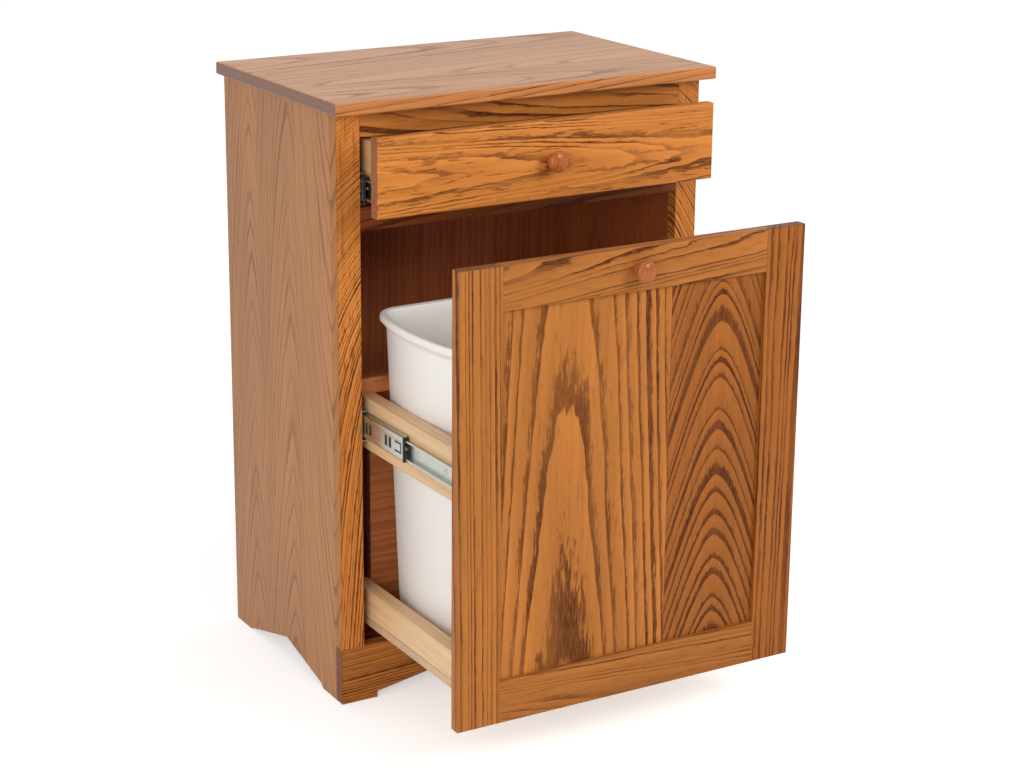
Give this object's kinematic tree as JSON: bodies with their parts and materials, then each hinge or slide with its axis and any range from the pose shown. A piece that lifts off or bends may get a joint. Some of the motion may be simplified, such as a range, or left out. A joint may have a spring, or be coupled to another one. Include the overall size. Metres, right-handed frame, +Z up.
{
  "type": "pull out trash cabinet",
  "caption": "Free-standing oak kitchen cabinet with a small drawer above a framed door that pulls out on ball-bearing slides with a wooden rack and a lift-out plastic waste bin.",
  "frame": {"origin": "on the floor, under the middle of the box that holds the whole object with the rack and the drawer open as stored", "axes": "+Z up, the front with the door and the drawer faces -Y, the cabinet's left as seen from the front is -X"},
  "size_m": [0.6394, 0.711, 0.914],
  "materials": {
    "case_oak": "stained oak with a satin lacquer, a little duller than the front",
    "top_oak": "stained oak with a satin lacquer",
    "frame_oak": "stained oak with a satin lacquer",
    "door_oak": "stained oak with a satin lacquer",
    "panel_oak": "stained oak boards glued side by side, satin lacquer",
    "front_oak": "stained oak with a satin lacquer",
    "knob_oak": "turned oak with a satin lacquer",
    "inner_board": "dark stained board",
    "cleat_wood": "plain sanded wood",
    "rack_wood": "clear lacquered hardwood",
    "rack_panel": "stained board",
    "drawer_wood": "clear lacquered hardwood",
    "slide_zinc": "zinc-plated steel sheet",
    "retainer_steel": "bright steel",
    "stop_plastic": "black moulded plastic",
    "screw_steel": "zinc-plated screws",
    "bin_plastic": "off-white moulded plastic, satin"
  },
  "bodies": {
    "cabinet": {"left_side_panel": "case_oak", "right_side_panel": "case_oak", "top_board": "top_oak", "left_stile": "frame_oak", "right_stile": "frame_oak", "top_rail": "frame_oak", "mid_rail": "frame_oak", "base_rail": "frame_oak", "back_panel": "inner_board", "floor_panel": "inner_board", "corner_blocks": "cleat_wood", "top_cleats": "cleat_wood", "slide_cleats": "cleat_wood", "pullout_slide_outer_left": "slide_zinc", "pullout_slide_outer_right": "slide_zinc", "drawer_slide_outer_left": "slide_zinc", "drawer_slide_outer_right": "slide_zinc"},
    "pull_out_rack": {"door_left_stile": "door_oak", "door_right_stile": "door_oak", "door_top_rail": "door_oak", "door_bottom_rail": "door_oak", "door_panel": "panel_oak", "door_knob": "knob_oak", "door_knob_screw": "screw_steel", "rack_upper_rail_left": "rack_wood", "rack_upper_rail_right": "rack_wood", "rack_lower_rail_left": "rack_wood", "rack_lower_rail_right": "rack_wood", "rack_bottom_board": "rack_wood", "rack_rear_bar": "rack_wood", "rack_front_bar": "rack_wood", "rack_rear_panel": "rack_panel", "pullout_slide_inner_left": "slide_zinc", "pullout_slide_inner_right": "slide_zinc", "pullout_slide_screws": "screw_steel"},
    "waste_bin": {"bin": "bin_plastic"},
    "drawer": {"drawer_left_side": "drawer_wood", "drawer_right_side": "drawer_wood", "drawer_inner_front": "drawer_wood", "drawer_back": "drawer_wood", "drawer_bottom": "drawer_wood", "drawer_front": "front_oak", "drawer_knob": "knob_oak", "drawer_knob_screw": "screw_steel", "drawer_slide_inner_left": "slide_zinc", "drawer_slide_inner_right": "slide_zinc", "drawer_slide_screws": "screw_steel"},
    "pullout_mid_members_body": {"pullout_slide_mid_left": "slide_zinc", "pullout_slide_mid_right": "slide_zinc", "pullout_slide_stops": "stop_plastic"},
    "pullout_outer_retainers_body": {"pullout_outer_retainers": "retainer_steel"},
    "pullout_inner_retainers_body": {"pullout_inner_retainers": "retainer_steel"},
    "drawer_mid_members_body": {"drawer_slide_mid_left": "slide_zinc", "drawer_slide_mid_right": "slide_zinc", "drawer_slide_stops": "stop_plastic"},
    "drawer_outer_retainers_body": {"drawer_outer_retainers": "retainer_steel"},
    "drawer_inner_retainers_body": {"drawer_inner_retainers": "retainer_steel"}
  },
  "joints": [
    {"name": "pull_out_slide", "type": "slide", "parent": "cabinet", "child": "pull_out_rack", "axis": [0, -1, 0], "range_m": [-0.2857, 0.064]},
    {"name": "bin_lift", "type": "slide", "parent": "pull_out_rack", "child": "waste_bin", "axis": [0, 0, 1], "range_m": [0, 0.12]},
    {"name": "drawer_slide", "type": "slide", "parent": "cabinet", "child": "drawer", "axis": [0, -1, 0], "range_m": [-0.0567, 0.293]},
    {"name": "pullout_mid_members_slide", "type": "slide", "parent": "cabinet", "child": "pullout_mid_members_body", "axis": [0, -1, 0], "range_m": [-0.14295, 0.0321]},
    {"name": "pullout_outer_retainers_slide", "type": "slide", "parent": "cabinet", "child": "pullout_outer_retainers_body", "axis": [0, -1, 0], "range_m": [-0.07153, 0.0161]},
    {"name": "pullout_inner_retainers_slide", "type": "slide", "parent": "cabinet", "child": "pullout_inner_retainers_body", "axis": [0, -1, 0], "range_m": [-0.21438, 0.0481]},
    {"name": "drawer_mid_members_slide", "type": "slide", "parent": "cabinet", "child": "drawer_mid_members_body", "axis": [0, -1, 0], "range_m": [-0.02845, 0.1466]},
    {"name": "drawer_outer_retainers_slide", "type": "slide", "parent": "cabinet", "child": "drawer_outer_retainers_body", "axis": [0, -1, 0], "range_m": [-0.01427, 0.07335]},
    {"name": "drawer_inner_retainers_slide", "type": "slide", "parent": "cabinet", "child": "drawer_inner_retainers_body", "axis": [0, -1, 0], "range_m": [-0.04263, 0.21985]}
  ],
  "couplings": [
    {"joint": "pullout_mid_members_slide", "follows": "pull_out_slide", "ratio": 0.5},
    {"joint": "pullout_outer_retainers_slide", "follows": "pull_out_slide", "ratio": 0.25},
    {"joint": "pullout_inner_retainers_slide", "follows": "pull_out_slide", "ratio": 0.75},
    {"joint": "drawer_mid_members_slide", "follows": "drawer_slide", "ratio": 0.5},
    {"joint": "drawer_outer_retainers_slide", "follows": "drawer_slide", "ratio": 0.25},
    {"joint": "drawer_inner_retainers_slide", "follows": "drawer_slide", "ratio": 0.75}
  ]
}
